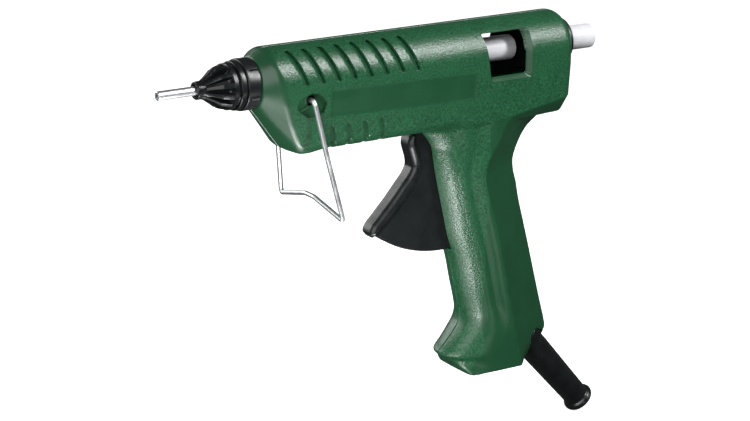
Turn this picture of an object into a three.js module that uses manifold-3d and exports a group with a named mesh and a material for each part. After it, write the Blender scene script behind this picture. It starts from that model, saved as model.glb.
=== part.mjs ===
// Hand-held hot-glue gun for 11 mm glue sticks, with a wire stand and a needle nozzle.
// Millimetres, +Z up. While it is being built, X runs from the nozzle tip to the rear,
// Z is measured from the axis of the barrel and Y = 0 is the joint between the two shells.
// The finished group is moved so that its origin is the bottom centre of its bounding box.
import * as THREE from 'three';
import { ConvexGeometry } from 'three/addons/geometries/ConvexGeometry.js';
import { mergeVertices } from 'three/addons/utils/BufferGeometryUtils.js';
import Module from 'manifold-3d';

const wasm = await Module();
wasm.setup();

// ---- driving dimensions -------------------------------------------------------------
const WALL = 2.4;               // shell thickness
const GAP = 0.3;                // clearance between pieces
const SPLIT = 0.15;             // half of the joint line between the shells
const HALF_W = 16;              // half width of the barrel
const TOP_Z = 14.7;             // crown of the barrel above the axis
const BOTTOM_Z = -30.5;         // underside of the barrel
const FRONT_X = 44.3;           // front face of the shells
const REAR_X = 205.2;           // rear face of the shells
const FOOT_Z = -149;            // flat end of the grip
const STICK_R = 5.6;            // glue stick radius
const FRONT_STICK = [78, 179.6];
const REAR_STICK = [191.5, 224.8];
const TRIGGER_PIVOT = [143.5, -30];
const TRIGGER_R = 59.4;          // radius of the trigger's lower edge about its pivot
const TRIGGER_T = 2.7;          // half thickness of the trigger's plate
const ARM = 19;                 // pivot to the centre of the arm's round nose
const ARM_R = 2.5;
const ARM_REST = 10;            // degrees the arm leans to the rear at rest
const STAND_PIVOT = [65.8, -7.1];
const STAND_DROP = 52.9;        // pivot to foot along the bail
const STAND_LEAN = 10.4;        // degrees from plumb, feet to the rear
const STAND_FOOT = 26;          // half distance between the feet
const WIRE_R = 1.1;
const SLEEVE_AT = [198.2, -146.8];
const SLEEVE_DIR = [0.6665, -0.7455];
const SLEEVE_LEN = 43.5;
const SCREWS = [[70, -22.5], [112, -23], [196, -20.5], [160, -99], [158, -137]];
const CLAMP_AT = [179.6, -130.4];
const WINDOW = [155.4, 181, -10.8, 10.6];
const JAW_PIVOT = [138.3, -11.5];

// Outline of the grip, level by level: height, front edge, widest line, rear edge and how far
// the front has spread into the toe.
const GRIP = [
  [-26, 126, 186, 199], [-30, 127.5, 176, 198], [-33.2, 130, 168.6, 193.5], [-36.7, 133, 166, 188.7],
  [-40, 135, 164.3, 185.9], [-43.6, 135.7, 162, 183.8], [-47.1, 136.4, 159.9, 182.2],
  [-51, 137.2, 158.6, 181], [-56, 138.3, 158.3, 181.2], [-62.5, 139.9, 159.8, 183],
  [-70.4, 141.8, 162.4, 184.7], [-82, 144.6, 166, 187.9], [-95, 149, 169, 191.5],
  [-107, 151.8, 171.6, 194.7], [-117, 154.3, 173.9, 197.4], [-122.5, 155.5, 175.2, 198.9],
  [-127, 154.4, 176.3, 200.2, 0.15], [-132, 150.8, 177.6, 201.6, 0.3],
  [-136.2, 146.9, 178.6, 202.3, 0.45], [-139.6, 143.8, 179.5, 200.9, 0.6],
  [FOOT_Z, 153, 181.5, 191.5, 1],
];

// ---- helpers ------------------------------------------------------------------------
// A closed three.js geometry becomes a manifold solid with its faces pointing out.
function solid(geometry) {
  const g = geometry.clone();
  g.deleteAttribute('normal');
  if (g.getAttribute('uv')) g.deleteAttribute('uv');
  const m = mergeVertices(g, 1e-4);
  const pos = m.getAttribute('position');
  const index = Array.from(m.index.array);
  const tris = [];
  let volume = 0;
  const a = new THREE.Vector3(), b = new THREE.Vector3(), c = new THREE.Vector3();
  for (let i = 0; i < index.length; i += 3) {
    const [p, q, r] = [index[i], index[i + 1], index[i + 2]];
    if (p === q || q === r || r === p) continue;
    tris.push(p, q, r);
    a.fromBufferAttribute(pos, p);
    b.fromBufferAttribute(pos, q);
    c.fromBufferAttribute(pos, r);
    volume += a.dot(b.cross(c));
  }
  if (volume < 0) tris.reverse();
  return new wasm.Manifold(new wasm.Mesh({
    numProp: 3, vertProperties: new Float32Array(pos.array), triVerts: new Uint32Array(tris),
  }));
}

function toGeometry(manifold) {
  const m = manifold.getMesh();
  const g = new THREE.BufferGeometry();
  const pos = new Float32Array(m.numVert * 3);
  for (let i = 0; i < m.numVert; i++) {
    for (let k = 0; k < 3; k++) pos[3 * i + k] = m.vertProperties[m.numProp * i + k];
  }
  g.setAttribute('position', new THREE.BufferAttribute(pos, 3));
  g.setIndex(Array.from(m.triVerts));
  g.computeVertexNormals();
  return g;
}

const union = (list) => list.reduce((s, t) => s.add(t));

// Side outline (x, z) given a thickness from y0 to y1.
function plateXZ(points, y0, y1) {
  const shape = new THREE.Shape(points.map(([x, z]) => new THREE.Vector2(x, z)));
  const g = new THREE.ExtrudeGeometry(shape, { depth: y1 - y0, bevelEnabled: false, curveSegments: 8 });
  return solid(g.rotateX(Math.PI / 2).translate(0, y1, 0));
}

function box(x0, x1, y0, y1, z0, z1) {
  const g = new THREE.BoxGeometry(x1 - x0, y1 - y0, z1 - z0);
  return solid(g.translate((x0 + x1) / 2, (y0 + y1) / 2, (z0 + z1) / 2));
}

// Profile of (x, radius) pairs turned about the X axis; a hollow profile closes on itself.
function turnedX(profile, segments = 24) {
  const pts = profile.map(([x, r]) => new THREE.Vector2(r, x));
  return solid(new THREE.LatheGeometry(pts, segments).rotateZ(-Math.PI / 2));
}

// Profile of (y, radius) pairs turned about a line along Y through (x, z).
function turnedY(profile, x, z, segments = 20) {
  const pts = profile.map(([y, r]) => new THREE.Vector2(r, y));
  return solid(new THREE.LatheGeometry(pts, segments).translate(x, 0, z));
}

const rodY = (x, z, r, y0, y1, n = 20) => turnedY([[y0, 0], [y0, r], [y1, r], [y1, 0]], x, z, n);
const rodX = (x0, x1, r, n = 20) => turnedX([[x0, 0], [x0, r], [x1, r], [x1, 0]], n);

function hull(points) {
  return solid(new ConvexGeometry(points.map((p) => new THREE.Vector3(...p))));
}

// Round bar along a curve.
function bar(points, r, steps, sides = 8, tension = 0.5) {
  const path = new THREE.CatmullRomCurve3(points.map((p) => new THREE.Vector3(...p)), false,
    'catmullrom', tension);
  return barAlong(path, r, steps, sides);
}

function barAlong(path, r, steps, sides = 8) {
  const shape = new THREE.Shape();
  for (let i = 0; i < sides; i++) {
    const t = (2 * Math.PI * i) / sides;
    if (i === 0) shape.moveTo(r * Math.cos(t), r * Math.sin(t));
    else shape.lineTo(r * Math.cos(t), r * Math.sin(t));
  }
  return solid(new THREE.ExtrudeGeometry(shape, { steps, bevelEnabled: false, extrudePath: path }));
}

const arc = (cx, cz, r, from, to, n) => Array.from({ length: n + 1 }, (_, i) => {
  const t = THREE.MathUtils.degToRad(from + ((to - from) * i) / n);
  return [cx + r * Math.cos(t), cz + r * Math.sin(t)];
});

// ---- the outer body -----------------------------------------------------------------
// Cross-section of the barrel, reduced by t on every side, as (y, z) pairs.
function barrelSection(t) {
  const side = [];
  for (let i = 0; i <= 6; i++) {
    const a = (i * Math.PI) / 12;
    side.push([(HALF_W - t) * Math.sin(a), (TOP_Z - t) * Math.cos(a)]);
  }
  side.push([HALF_W - t, -8], [14.7 - t, -25.2], [13.2 - t, -28.6 + 0.6 * t], [9.8 - t, BOTTOM_Z + t]);
  return side.concat(side.map(([y, z]) => [-y, z]));
}

// Edge where the nose meets the barrel: height, distance back, share of the full width there.
const NOSE = [[TOP_Z, 50, 1], [6, 48.8, 1], [-1, 51.2, 1], [-12, 56.1, 0.86], [-20, 58.2, 0.72],
  [-27, 60.2, 0.5], [BOTTOM_Z, 61.5, 0.42]];

function noseEdge(z) {
  const i = Math.max(1, NOSE.findIndex(([h], k) => k > 0 && z >= h - 1e-6));
  const [z1, x1, f1] = NOSE[i - 1];
  const [z2, x2, f2] = NOSE[i];
  const s = Math.min(1, Math.max(0, (z - z1) / (z2 - z1)));
  return [x1 + s * (x2 - x1), f1 + s * (f2 - f1)];
}

function barrelBody(t) {
  const points = [];
  const frontX = t > 1.5 ? FRONT_X + WALL : FRONT_X;
  const frontR = t > 1.5 ? 11.4 : 12 - t;
  for (let i = 0; i < 28; i++) {
    const a = (2 * Math.PI * i) / 28;
    points.push([frontX, frontR * Math.sin(a), frontR * Math.cos(a)]);
  }
  for (const [y, z] of barrelSection(t)) {
    const [x, f] = noseEdge(z);
    points.push([x + t, y * f, z], [x + t + 12 * (1 - f), y, z]);
  }
  for (const [x, inset] of [[198.6, 0], [202.8, 1.6], [REAR_X, 5]]) {
    for (const [y, z] of barrelSection(t + inset)) points.push([x - t, y, z]);
  }
  return hull(points);
}

// Horizontal section of the grip: rounded front column, widest line, then a wedge to the rear.
// The front column spreads from a round nose to a broad toe as `broad` goes from 0 to 1.
const ROUND_FRONT = [[0, 1.2], [1, 4], [3.2, 6.9], [6.6, 9.6], [11, 12]];
const BROAD_FRONT = [[0, 5], [0.3, 9], [1, 11.6], [2.6, 13], [8, 13.9]];

function gripSection([z, front, crease, back, broad = 0], t) {
  const flank = ROUND_FRONT.map(([x, y], i) => {
    const [bx, by] = BROAD_FRONT[i];
    return [front + t + x + broad * (bx - x), Math.max(0.6, y + broad * (by - y) - (0.2 + 0.16 * i) * t)];
  });
  flank.push([crease - 0.5 * t, 14.6 - t], [back - 0.8 - 2.1 * t, Math.max(0.8, 4 - t)],
    [back - 2.2 * t, Math.max(0.5, 2.2 - t)]);
  return flank.flatMap(([x, y]) => [[x, y, z], [x, -y, z]]);
}

function gripBody(t) {
  const levels = GRIP.map((l) => [...l]);
  levels[levels.length - 1][0] += t;
  if (t > 0) {
    levels[levels.length - 1][1] -= 0.9 * t;
    levels[levels.length - 1][3] += 0.9 * t;
  }
  const pieces = [];
  for (let i = 1; i < levels.length; i++) {
    pieces.push(hull([...gripSection(levels[i - 1], t), ...gripSection(levels[i], t)]));
  }
  return union(pieces);
}

const body = (t) => barrelBody(t).add(gripBody(t));

// ---- features cut into, or added to, the shells -------------------------------------
function groovePlates() {
  const plates = [];
  for (let i = 0; i < 8; i++) {
    const x = 58 + 8.05 * i;      // upper row leans back like the nose line
    plates.push(plateXZ([[x - 1.2, 13.4], [x + 1.2, 13.4], [x + 6.4, -0.4], [x + 4, -0.4]], -20, 20));
  }
  for (let i = 0; i < 4; i++) {
    const x = 76 + 8.47 * i;      // lower row wraps round the bottom edge
    plates.push(plateXZ([[x - 1.2, -19.2], [x + 1.2, -19.2], [x + 3.6, -34], [x + 1.2, -34]], -20, -9));
    plates.push(plateXZ([[x - 1.2, -19.2], [x + 1.2, -19.2], [x + 3.6, -34], [x + 1.2, -34]], 9, 20));
  }
  return union(plates).subtract(body(0.8));
}

function windowCut() {
  const [x0, x1, z0, z1] = WINDOW;
  const lean = 3.4;              // the front edge leans like the nose
  const through = plateXZ([[x0 + 2, z1 - 2], [x1 - 2, z1 - 2], [x1 - 2, z0 + 2], [x0 + lean + 1, z0 + 2]],
    -20, 20);
  // Bevelled frame: wide at the outer skin, narrow at the inner one.
  const frame = (s) => hull([[x0 + lean, s * 17, z0], [x1, s * 17, z0], [x0, s * 17, z1], [x1, s * 17, z1],
    [x0 + lean + 1, s * 13.2, z0 + 2], [x1 - 2, s * 13.2, z0 + 2], [x0 + 2, s * 13.2, z1 - 2],
    [x1 - 2, s * 13.2, z1 - 2]]);
  return union([through, frame(1), frame(-1)]);
}

// Recess round the stand's pivot, fanned forward and down, where the bail's leg swings.
function pivotRecess(side) {
  const [x, z] = STAND_PIVOT;
  const fan = [[x + 2.6, z + 2.4], [x, z + 3.4], [x - 3, z + 2.2], ...arc(x, z, 8, 178, 262, 5),
    [x + 2.8, z - 3]];
  return side < 0 ? plateXZ(fan, -20, -14.6) : plateXZ(fan, 14.6, 20);
}

function triggerSlot() {
  const [px, pz] = TRIGGER_PIVOT;
  const edge = arc(px, pz, TRIGGER_R + 0.6, 246.7, 281, 8);
  const outline = [[119.5, -26.5], [119.5, edge[0][1]], ...edge, [edge[8][0], -34], [151, -26.5]];
  return plateXZ(outline, -TRIGGER_T - 0.6, TRIGGER_T + 0.6);
}

function sleeveHole() {
  return alongSleeve([[-12, 0], [-12, 8.6], [-5.2, 8.6], [-5.2, 7.3], [9, 7.3], [9, 0]], 24);
}

// Profile of (distance along the sleeve, radius), turned about the sleeve's axis.
function alongSleeve(profile, segments = 24) {
  const pts = profile.map(([s, r]) => new THREE.Vector2(r, s));
  const g = new THREE.LatheGeometry(pts, segments);
  const q = new THREE.Quaternion().setFromUnitVectors(
    new THREE.Vector3(0, 1, 0), new THREE.Vector3(SLEEVE_DIR[0], 0, SLEEVE_DIR[1]).normalize());
  g.applyQuaternion(q).translate(SLEEVE_AT[0], 0, SLEEVE_AT[1]);
  return solid(g);
}

// Everything that stands on the inside of a shell: screw bosses, saddles, rails, pivot boss.
function innerFeatures() {
  const within = body(1);
  const parts = SCREWS.map(([x, z]) => rodY(x, z, 4.5, -20, 20, 12));
  for (const x of [60, 86]) {
    parts.push(box(x, x + 2, -18, 18, -12, 15).subtract(rodX(x - 1, x + 3, 9.6, 20))
      .subtract(box(x - 1, x + 3, -8.9, 8.9, -18, -2)));
  }
  parts.push(box(109, 113.9, -18, 18, -13, 15).subtract(rodX(108, 115, 10.2)));
  for (const z of [2.1, -3.7]) {
    parts.push(box(124, 155, 9.3, 18, z, z + 1.6), box(124, 155, -18, -9.3, z, z + 1.6));
  }
  const [px, pz] = TRIGGER_PIVOT;
  parts.push(rodY(px, pz, 4.6, 3.7, 18), rodY(px, pz, 4.6, -18, -3.7));
  parts.push(box(156, 178, 4, 16, -123, -121.2), box(156, 178, -16, -4, -123, -121.2));
  parts.push(box(193, 195, -18, 18, -13, 15).subtract(rodX(192, 196, 8.9)));
  for (const [x, z] of clampScrews()) parts.push(rodY(x, z, 3.1, 0, 18, 12));
  return union(parts).intersect(within);
}

function holes() {
  const cuts = [];
  for (const [x, z] of SCREWS) {
    cuts.push(rodY(x, z, 1.6, -8.6, 9.2, 10), rodY(x, z, 3.2, 9, 22, 12));
  }
  for (const [x, z] of clampScrews()) cuts.push(rodY(x, z, 1.45, -0.5, 6.6, 10));
  const [px, pz] = TRIGGER_PIVOT;
  cuts.push(rodY(px, pz, 2.25, -11.4, 11.4, 18));
  cuts.push(rodY(STAND_PIVOT[0], STAND_PIVOT[1], WIRE_R + 0.35, -20, 20, 14));
  cuts.push(rodX(40, 50, 9.8));
  cuts.push(rodX(REAR_X - 12, REAR_X + 2, 8.8));
  cuts.push(triggerSlot(), sleeveHole(), windowCut());
  return union(cuts);
}

function housing() {
  const shell = body(0).subtract(body(WALL)).add(innerFeatures());
  const cut = shell.subtract(holes()).subtract(groovePlates());
  const left = cut.intersect(box(30, 220, -30, -SPLIT, -170, 30)).subtract(pivotRecess(-1));
  const right = cut.intersect(box(30, 220, SPLIT, 30, -170, 30)).subtract(pivotRecess(1));
  return { left, right };
}

// ---- nozzle end ---------------------------------------------------------------------
function nozzle() {
  return turnedX([[0, 0.9], [0, 1.7], [0.4, 2], [19, 2], [20.5, 2.6], [27, 4.6], [33.5, 5.6],
    [36.5, 5.6], [36.5, 4], [49.2, 4], [49.2, 2.4], [24, 1.3], [0, 0.9]], 18);
}

function nozzleCap() {
  const skin = turnedX([[17.8, 2.4], [17.8, 3.5], [18.3, 3.9], [21, 3.9], [31.2, 8.7], [31.2, 9.6],
    [32, 10], [34, 10], [34, 9.2], [34.8, 9.2], [34.8, 10.6], [37.4, 10.6], [37.4, 6.4], [33.2, 6.4],
    [26.6, 5.2], [20.2, 3.1], [19, 2.4], [17.8, 2.4]], 24);
  const ribs = [];
  for (let i = 0; i < 12; i++) {
    const rib = plateXZ([[20.6, 3.3], [20.6, 4], [30.4, 9.6], [32, 9.7], [32, 8]], -0.8, 0.8);
    ribs.push(rib.rotate([i * 30 + 15, 0, 0]));
  }
  return skin.add(union(ribs));
}

function frontCollar() {
  const ring = turnedX([[37.7, 8.2], [37.7, 10.7], [38.2, 11.2], [43.9, 11.2], [43.9, 9.5],
    [47.1, 9.5], [47.1, 10.9], [49, 10.9], [49, 8.2], [37.7, 8.2]], 24);
  const notches = [];
  for (let i = 0; i < 6; i++) {
    notches.push(box(39.6, 44, -1.4, 1.4, 10.5, 12).rotate([i * 60 + 20, 0, 0]));
  }
  return ring.subtract(union(notches));
}

// ---- heating ------------------------------------------------------------------------
function meltChamber() {
  const outer = turnedX([[49.8, 0], [49.8, 6.6], [54, 9.3], [92.2, 9.3], [92.2, 7.4], [97.6, 7.4],
    [97.6, 0]], 24);
  const pad = box(58, 90, -8.5, 8.5, -17.6, -3);
  const bore = turnedX([[49, 0], [49, 4.3], [52, 4.3], [53, 2.4], [62, 2.4], [66, 5.75], [80, 5.95],
    [99, 6.2], [99, 0]], 20);
  const pocket = box(57, 91, -6.4, 6.4, -16, -10.6);
  const fins = [];
  for (let i = 0; i < 5; i++) fins.push(box(62.6 + 5 * i, 64.6 + 5 * i, -10, 10, 7.9, 12));
  return outer.add(pad).subtract(union([bore, pocket, ...fins]));
}

const ptcElement = () => box(62, 84, -4.8, 4.8, -14.4, -12.4);
const contactPlate = (z, tab) => box(60.5, 88, -5.4, 5.4, z, z + 0.6)
  .add(box(87.5, 95, tab - 1.6, tab + 1.6, z, z + 0.6));
const heaterClamp = () => plateXZ([[60, -11.35], [60, -10.8], [86.5, -10.8], [86.5, -11.15]], -5.6, 5.6);

function inletSeal() {
  return turnedX([[92.5, 7.4], [98.1, 7.4], [98.1, 5.95], [112, 5.95], [112, 7.6], [108.6, 7.6],
    [108.6, 9.8], [98.1, 9.8], [98.1, 11], [92.5, 11], [92.5, 7.4]].map(([x, r]) => [x + 0.3, r + 0.35]));
}

const sealRetainer = () => turnedX([[114.3, 6.3], [114.3, 10.6], [115.4, 10.6], [115.4, 12.2],
  [117, 12.2], [117, 6.3], [114.3, 6.3]]);

// ---- feed ---------------------------------------------------------------------------
const armNose = () => {
  const t = THREE.MathUtils.degToRad(ARM_REST);
  return [TRIGGER_PIVOT[0] + ARM * Math.sin(t), TRIGGER_PIVOT[1] + ARM * Math.cos(t)];
};

function feedCarriage() {
  const [nx] = armNose();
  const ring = rodX(133.9, 153.4, 8.9, 20);
  const block = box(134.6, 153.4, -6.4, 6.4, -14.3, -3);
  const fins = box(133.9, 153.4, -11, 11, -1.7, 1.7);
  const cuts = [rodX(130, 157, STICK_R + 0.4, 20),
    box(nx - ARM_R - 0.32, nx + ARM_R + 0.32, -3.1, 3.1, -17, -7.8),
    box(135.6, 142.4, -2.6, 2.6, -17, -4), rodY(JAW_PIVOT[0], JAW_PIVOT[1], 1.5, -7, 7, 14)];
  return union([ring, block, fins]).subtract(union(cuts));
}

function clampJaw() {
  const [x, z] = JAW_PIVOT;
  const lever = plateXZ([[x - 2.1, z - 2], [x + 1.4, z - 2.3], [x + 3.2, z + 0.4], [x + 3.5, z + 4.6],
    [x + 2.9, z + 5.4], [x + 2.3, z + 4.9], [x + 1.8, z + 5.3], [x + 1.1, z + 4.7], [x - 2, z + 1.6]],
  -2.2, 2.2);
  return lever.subtract(rodY(x, z, 1.45, -3, 3, 14));
}

const jawPin = () => rodY(JAW_PIVOT[0], JAW_PIVOT[1], 1.2, -6.2, 6.2, 14);

function returnSpring() {
  const turns = 5, r = 7.7, x0 = 117.9, x1 = 133.1;
  class Helix extends THREE.Curve {
    getPoint(t, target = new THREE.Vector3()) {
      const a = 2 * Math.PI * turns * t;
      return target.set(x0 + (x1 - x0) * t, r * Math.cos(a), r * Math.sin(a));
    }
  }
  return barAlong(new Helix(), 0.45, turns * 10, 5);
}

// Front face of the finger rib from the top to the tip, and its rear edge back up again.
function trigger() {
  const [px, pz] = TRIGGER_PIVOT;
  const face = [[124, -32.6], [122.9, -35], [122.4, -38], [123.4, -41], [125, -44.4], [125.9, -48],
    [125.4, -51], [122.6, -55.4], [117, -62], [110, -68.8], [104.6, -73.6], [103.6, -75.6],
    [104.6, -77.6]];
  const rear = [[108.4, -76], [113.4, -71.6], [119.8, -65.4], [126, -58], [129.6, -52], [130.2, -47.4],
    [129.2, -42.6], [127.4, -38.6], [126.8, -35], [127.8, -32.6]];
  // The finger rib has a broad back and a narrower, rounded face.
  const rib = plateXZ([...face, ...rear], -3.4, 3.4)
    .add(plateXZ([...face.map(([x, z]) => [x + 1.5, z + 0.4]), ...rear], -5.2, 5.2));
  const edge = arc(px, pz, TRIGGER_R, 231, 279, 12);
  const plate = plateXZ([[125, -32.6], [123.6, -36], [124.6, -41], [127, -48], [123.6, -55.4],
    [112, -68.8], [105.8, -75.6], ...edge, [153.4, -60], [150.4, -40], [147, -30], [143.5, -25.6],
    [140, -27.6], [134, -29.4]], -TRIGGER_T, TRIGGER_T);
  const [nx, nz] = armNose();
  const t = THREE.MathUtils.degToRad(ARM_REST);
  const side = [Math.cos(t), -Math.sin(t)];
  const q = (u, w) => [u + 2 * w * side[0], nz - 4 + 2 * w * side[1]];
  const arm = plateXZ([[px - 3.4, pz + 1], q(nx - 0.7, -1), [nx - 2, nz], [nx + 2, nz],
    q(nx - 0.7, 1), [px + 4.4, pz + 1]], -TRIGGER_T, TRIGGER_T);
  const nose = rodY(nx, nz, ARM_R, -TRIGGER_T, TRIGGER_T, 18);
  const hub = rodY(px, pz, 4.6, -3.1, 3.1);
  return union([rib, plate, arm, nose, hub]).subtract(rodY(px, pz, 2.25, -6, 6, 18));
}

const triggerPin = () => rodY(TRIGGER_PIVOT[0], TRIGGER_PIVOT[1], 2, -11, 11, 18);
const glueStick = ([x0, x1]) => turnedX([[x0, 0], [x0, STICK_R - 0.4], [x0 + 0.4, STICK_R],
  [x1 - 0.4, STICK_R], [x1, STICK_R - 0.4], [x1, 0]], 20);

// ---- stand, bush, cord entry --------------------------------------------------------
function wireStand() {
  const [x, z] = STAND_PIVOT;
  const t = THREE.MathUtils.degToRad(STAND_LEAN);
  const at = (down, y) => [x + down * Math.sin(t), y, z - down * Math.cos(t)];
  const half = [at(0, 12.6), at(0, 15), at(0, 16.7), at(0.6, 17.7), at(2.4, 18.2), at(26, 22),
    at(STAND_DROP - 3, STAND_FOOT - 0.3), at(STAND_DROP - 0.9, STAND_FOOT - 0.3),
    at(STAND_DROP - 0.2, STAND_FOOT - 1.6), at(STAND_DROP - 1.4, STAND_FOOT - 5),
    at(STAND_DROP - 5.6, 3.6)];
  const mirrored = half.map(([px, py, pz]) => [px, -py, pz]).reverse();
  return bar([...half, ...mirrored], WIRE_R, 72, 6, 0.15);
}

const rearBush = () => turnedX([[196, 6.1], [196, 8.4], [206.3, 8.4], [206.3, 10.2], [208, 10.2],
  [208.6, 9.6], [208.6, 6.6], [208, 6.1], [196, 6.1]], 24);

function cableSleeve() {
  const e = SLEEVE_LEN;
  return alongSleeve([[-11, 4.1], [-11, 8.2], [-6, 8.2], [-6, 6.95], [2, 6.95], [e - 2.6, 6],
    [e - 2, 7.1], [e - 0.7, 7.5], [e, 7.1], [e, 4.8], [e - 1.6, 4.1], [-11, 4.1]], 20);
}

// Two screws either side of the cord, square to its direction.
function clampScrews() {
  const [x, z] = CLAMP_AT;
  return [5.2, -5.2].map((s) => [x - s * SLEEVE_DIR[1], z + s * SLEEVE_DIR[0]]);
}

function cordClamp() {
  const [x, z] = CLAMP_AT;
  const [dx, dz] = SLEEVE_DIR;
  const corner = (along, across) => [x + along * dx - across * dz, z + along * dz + across * dx];
  const bridge = plateXZ([corner(-2.6, -7.3), corner(2.6, -7.3), corner(2.6, 7.3), corner(-2.6, 7.3)],
    -4.6, -0.2);
  const channel = alongSleeve([[-30, 0], [-30, 3], [-10, 3], [-10, 0]], 12)
    .translate([x - SLEEVE_AT[0] + 20 * dx, 0, z - SLEEVE_AT[1] + 20 * dz]);
  const bores = clampScrews().map(([sx, sz]) => rodY(sx, sz, 1.5, -7, 1, 10));
  return bridge.subtract(union([channel, ...bores]));
}

// Pan-head screw along Y with its head's seat at y; the head faces +Y, or -Y when facing is -1.
function screwY(x, z, y, length, facing = 1, r = 1.25, head = 2.7) {
  const profile = [[-length, 0], [-length, 0.5], [1.2 - length, r], [0, r], [0, head], [1.2, head],
    [1.9, head - 0.7], [1.9, 0]];
  const s = turnedY(profile.map(([u, q]) => [y + facing * u, q]), x, z, 8);
  const [y0, y1] = facing > 0 ? [y + 1, y + 3] : [y - 3, y - 1];
  return s.subtract(box(x - 0.4, x + 0.4, y0, y1, z - 1.5, z + 1.5)
    .add(box(x - 1.5, x + 1.5, y0, y1, z - 0.4, z + 0.4)));
}

// ---- wiring -------------------------------------------------------------------------
const lead = (s, z0) => bar([[96.3, s * 3.4, z0], [101, s * 6.4, -15.6], [117, s * 8.2, -15.8],
  [138, s * 8.2, -18.6], [152, s * 8.2, -26], [156.5, s * 8, -42], [158, s * 8, -60],
  [161.5, s * 7.4, -84], [168.2, s * 4, -102], [169.4, s * 3, -107.2]], 1, 22, 5);

function terminalBlock() {
  const block = box(163.5, 174.5, -6.4, 6.4, -120.6, -108);
  const bores = [3, -3].flatMap((y) => [
    rodY(0, 0, 1.7, -10, 10, 12).rotate([90, 0, 0]).translate([169, y, -110]),
    rodX(160, 168, 1.4, 12).translate([0, y, -113]),
  ]);
  return block.subtract(union(bores));
}

// ---- assembly -----------------------------------------------------------------------
const plastic = (color, roughness = 0.55) => new THREE.MeshStandardMaterial({ color, roughness, metalness: 0 });
const metal = (color, roughness = 0.35) => new THREE.MeshStandardMaterial({ color, roughness, metalness: 1 });
const green = plastic(0x24583c), black = plastic(0x16191a, 0.45), glue = plastic(0xe9e9ec, 0.4);
const steel = metal(0xb9bcc0), aluminium = metal(0xc4c6c8, 0.45), brass = metal(0xc2a05a);

const gun = new THREE.Group();
function add(name, manifold, material) {
  const mesh = new THREE.Mesh(toGeometry(manifold), material);
  mesh.name = name;
  gun.add(mesh);
}

const shells = housing();
add('housing_left', shells.left, green);
add('housing_right', shells.right, green);
add('nozzle', nozzle(), aluminium);
add('nozzle_cap', nozzleCap(), black);
add('front_collar', frontCollar(), black);
add('melt_chamber', meltChamber(), aluminium);
add('ptc_element', ptcElement(), plastic(0x4a4642, 0.8));
add('contact_plate_upper', contactPlate(-12.1, 3.4), brass);
add('contact_plate_lower', contactPlate(-15.3, -3.4), brass);
add('heater_clamp', heaterClamp(), steel);
add('inlet_seal', inletSeal(), plastic(0xa8452e, 0.7));
add('seal_retainer', sealRetainer(), black);
add('return_spring', returnSpring(), steel);
add('feed_carriage', feedCarriage(), black);
add('clamp_jaw', clampJaw(), steel);
add('jaw_pin', jawPin(), steel);
add('trigger', trigger(), black);
add('trigger_pin', triggerPin(), steel);
add('wire_stand', wireStand(), steel);
add('rear_bush', rearBush(), black);
add('glue_stick_front', glueStick(FRONT_STICK), glue);
add('glue_stick_rear', glueStick(REAR_STICK), glue);
SCREWS.forEach(([x, z], i) => add(`housing_screw_${i + 1}`, screwY(x, z, 9.3, 17), steel));
add('terminal_block', terminalBlock(), plastic(0xd8d5cc, 0.6));
add('lead_live', lead(1, -13.1), plastic(0x6b4a2c, 0.6));
add('lead_neutral', lead(-1, -15), plastic(0x2b4f86, 0.6));
add('cord_clamp', cordClamp(), plastic(0x2a2d2e, 0.6));
clampScrews().forEach(([x, z], i) => add(`clamp_screw_${i + 1}`, screwY(x, z, -4.7, 10.6, -1, 1.15, 2),
  steel));
add('cable_sleeve', cableSleeve(), black);

// Origin at the bottom centre of the bounding box.
gun.updateMatrixWorld(true);
const bounds = new THREE.Box3().setFromObject(gun, true);
gun.position.set(-(bounds.min.x + bounds.max.x) / 2, -(bounds.min.y + bounds.max.y) / 2, -bounds.min.z);
gun.updateMatrixWorld(true);

export default gun;
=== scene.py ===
# Hot glue gun with a needle nozzle, wire stand and window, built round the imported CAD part.
# Lengths in the dictionaries are millimetres from the nozzle tip: x to the rear, y to the far side, z up from
# the barrel's axis.
import math
import bpy
import bmesh
import numpy as np
from mathutils import Matrix, Vector


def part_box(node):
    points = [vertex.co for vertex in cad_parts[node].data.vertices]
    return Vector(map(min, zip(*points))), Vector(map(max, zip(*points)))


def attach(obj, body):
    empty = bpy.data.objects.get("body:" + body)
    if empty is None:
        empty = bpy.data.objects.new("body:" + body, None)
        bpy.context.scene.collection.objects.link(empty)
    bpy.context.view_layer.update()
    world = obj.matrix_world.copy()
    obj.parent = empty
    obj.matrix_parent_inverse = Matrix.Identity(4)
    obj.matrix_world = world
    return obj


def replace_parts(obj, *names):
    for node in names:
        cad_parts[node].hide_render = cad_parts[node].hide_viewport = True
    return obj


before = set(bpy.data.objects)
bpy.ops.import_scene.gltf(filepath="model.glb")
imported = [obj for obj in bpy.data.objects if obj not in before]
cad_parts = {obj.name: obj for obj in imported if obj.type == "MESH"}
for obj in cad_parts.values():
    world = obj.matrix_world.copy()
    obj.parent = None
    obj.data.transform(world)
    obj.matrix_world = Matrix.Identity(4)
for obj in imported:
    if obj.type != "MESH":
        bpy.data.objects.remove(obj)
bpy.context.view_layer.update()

mm = 0.001
nozzleLow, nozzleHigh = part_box("nozzle")
tip = np.array([nozzleLow.x, 0.0, (nozzleLow.z + nozzleHigh.z) / 2])  # nozzle tip, in the row frame


def row(points):
    return np.asarray(points, float) * mm + tip


# angles in degrees; tipAcross and tipUp are where the nozzle tip lies from the middle of the view
camera = dict(turn=33.4, rise=16.9, roll=0.69, away=998, lens=116.496, sensor=36, tipAcross=-89.849,
              tipUp=46.96, near=50, far=20000)


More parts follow.
